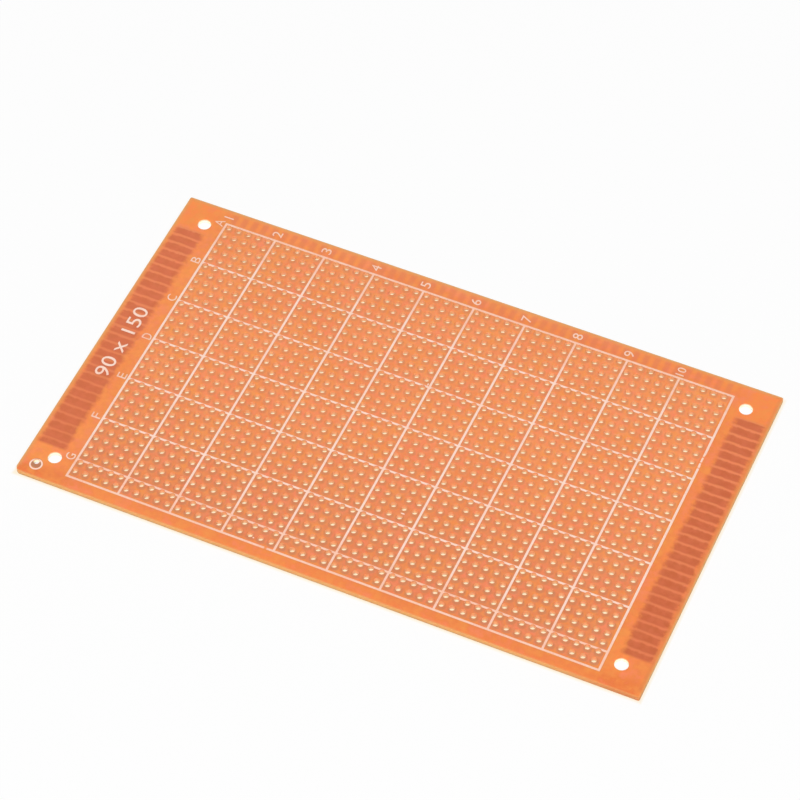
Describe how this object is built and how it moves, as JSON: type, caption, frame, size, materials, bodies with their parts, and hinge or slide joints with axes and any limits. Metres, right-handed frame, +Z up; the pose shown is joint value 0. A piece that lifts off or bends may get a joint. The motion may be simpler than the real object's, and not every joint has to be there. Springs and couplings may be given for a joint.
{
  "type": "prototype board",
  "caption": "Punched phenolic board with a grid of lead holes, copper pads underneath, end contact fingers, a printed cell grid on top and a mounting hole in each corner.",
  "frame": {"origin": "under the middle of the board, on the plane of the copper pads that it rests on", "axes": "+X along the length, from cell 1 to cell 10; +Y across, to the numbered long edge; +Z up, to the printed side"},
  "size_m": [0.1494, 0.089, 0.0013],
  "materials": {
    "laminate": "semi-matt phenolic paper laminate, slightly translucent",
    "copper": "bare copper foil under a thin clear flux lacquer",
    "ink": "matt white screen-printed ink"
  },
  "bodies": {
    "root": {"laminate": "laminate", "solder_pads_far_left": "copper", "solder_pads_far_right": "copper", "solder_pads_near_left": "copper", "solder_pads_near_right": "copper", "end_fingers_left": "copper", "end_fingers_right": "copper", "target_pad": "copper", "print_grid": "ink", "print_target": "ink"}
  },
  "joints": []
}
